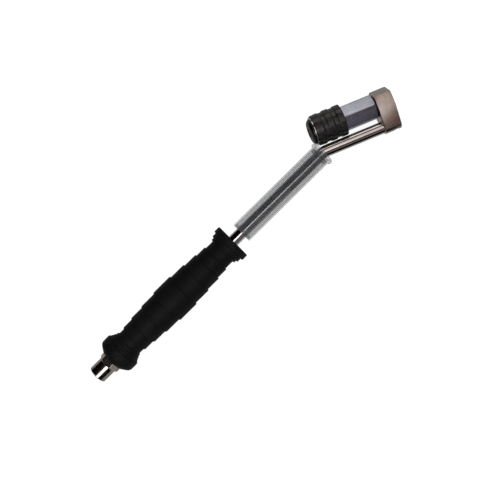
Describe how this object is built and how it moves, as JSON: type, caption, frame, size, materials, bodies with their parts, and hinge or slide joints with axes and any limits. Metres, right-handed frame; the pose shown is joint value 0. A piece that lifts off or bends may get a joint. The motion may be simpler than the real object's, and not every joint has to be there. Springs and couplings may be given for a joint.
{
  "type": "tire inflator wand",
  "caption": "Hand-held tyre inflation wand: threaded inlet, stepped rubber grip, bent air tube in a clear sliding sleeve, and a locking chuck that points back towards the hand.",
  "frame": {"origin": "centre of the inlet fitting's end face, at the mouth of the hose thread", "axes": "+X along the handle from the inlet towards the head; the tube bends towards -Y, the chuck is on the +Y side of the head tube, and +Z is normal to the wand's plane"},
  "size_m": [0.3375, 0.0604, 0.033],
  "materials": {
    "nickel_plated_brass": "bright nickel plate over turned brass",
    "chrome_plated_steel": "bright chrome plate over drawn steel tube",
    "black_nylon": "moulded black nylon, fine satin texture",
    "black_rubber": "moulded black rubber",
    "polished_steel": "turned and ground steel",
    "clear_polycarbonate": "moulded clear polycarbonate with a grey tint",
    "brushed_nickel": "nickel plate over a linished brass block",
    "satin_steel": "satin drawn hexagon bar",
    "black_chrome": "dark bright plate on a turned nose",
    "spring_steel": "drawn spring wire",
    "brass": "turned brass"
  },
  "bodies": {
    "wand": {"inlet_fitting": "nickel_plated_brass", "stem_tube": "chrome_plated_steel", "grip_liner": "black_nylon", "grip_sleeve": "black_rubber", "manifold_block": "brushed_nickel", "passage_plug": "nickel_plated_brass", "chuck_barrel": "satin_steel", "barrel_seal": "black_rubber", "nose_ring": "black_chrome", "valve_washer": "black_rubber", "washer_seat": "brass", "spring_seat": "brass", "collar_spring": "spring_steel", "poppet_spring": "spring_steel"},
    "guard": {"guard_sleeve": "clear_polycarbonate", "guard_front_bush": "clear_polycarbonate", "guard_rear_bush": "clear_polycarbonate"},
    "collar": {"collar_sleeve": "polished_steel", "collar_grip": "black_nylon"},
    "depressor": {"depressor_pin": "brass", "poppet_seal": "black_rubber"},
    "ball_1": {"locking_ball_1": "polished_steel"},
    "ball_2": {"locking_ball_2": "polished_steel"},
    "ball_3": {"locking_ball_3": "polished_steel"}
  },
  "joints": [
    {"name": "guard_slide", "type": "slide", "parent": "wand", "child": "guard", "axis": [1, 0, 0], "range_m": [-0.009, 0]},
    {"name": "collar_slide", "type": "slide", "parent": "wand", "child": "collar", "axis": [0.9259, -0.3778, 0], "range_m": [0, 0.005], "stiffness_N_per_m": 1200, "springref_m": -0.0065, "deforming": ["collar_spring"]},
    {"name": "depressor_slide", "type": "slide", "parent": "wand", "child": "depressor", "axis": [0.9259, -0.3778, 0], "range_m": [0, 0.0025], "stiffness_N_per_m": 800, "springref_m": -0.004, "deforming": ["poppet_spring"]},
    {"name": "ball_1_slide", "type": "slide", "parent": "wand", "child": "ball_1", "axis": [0, 0, 1], "range_m": [0, 0.00092]},
    {"name": "ball_2_slide", "type": "slide", "parent": "wand", "child": "ball_2", "axis": [-0.3272, -0.8018, -0.5], "range_m": [0, 0.00092]},
    {"name": "ball_3_slide", "type": "slide", "parent": "wand", "child": "ball_3", "axis": [0.3272, 0.8018, -0.5], "range_m": [0, 0.00092]}
  ],
  "couplings": [
    {"joint": "ball_1_slide", "follows": "collar_slide", "ratio": 0.18},
    {"joint": "ball_2_slide", "follows": "collar_slide", "ratio": 0.18},
    {"joint": "ball_3_slide", "follows": "collar_slide", "ratio": 0.18}
  ]
}
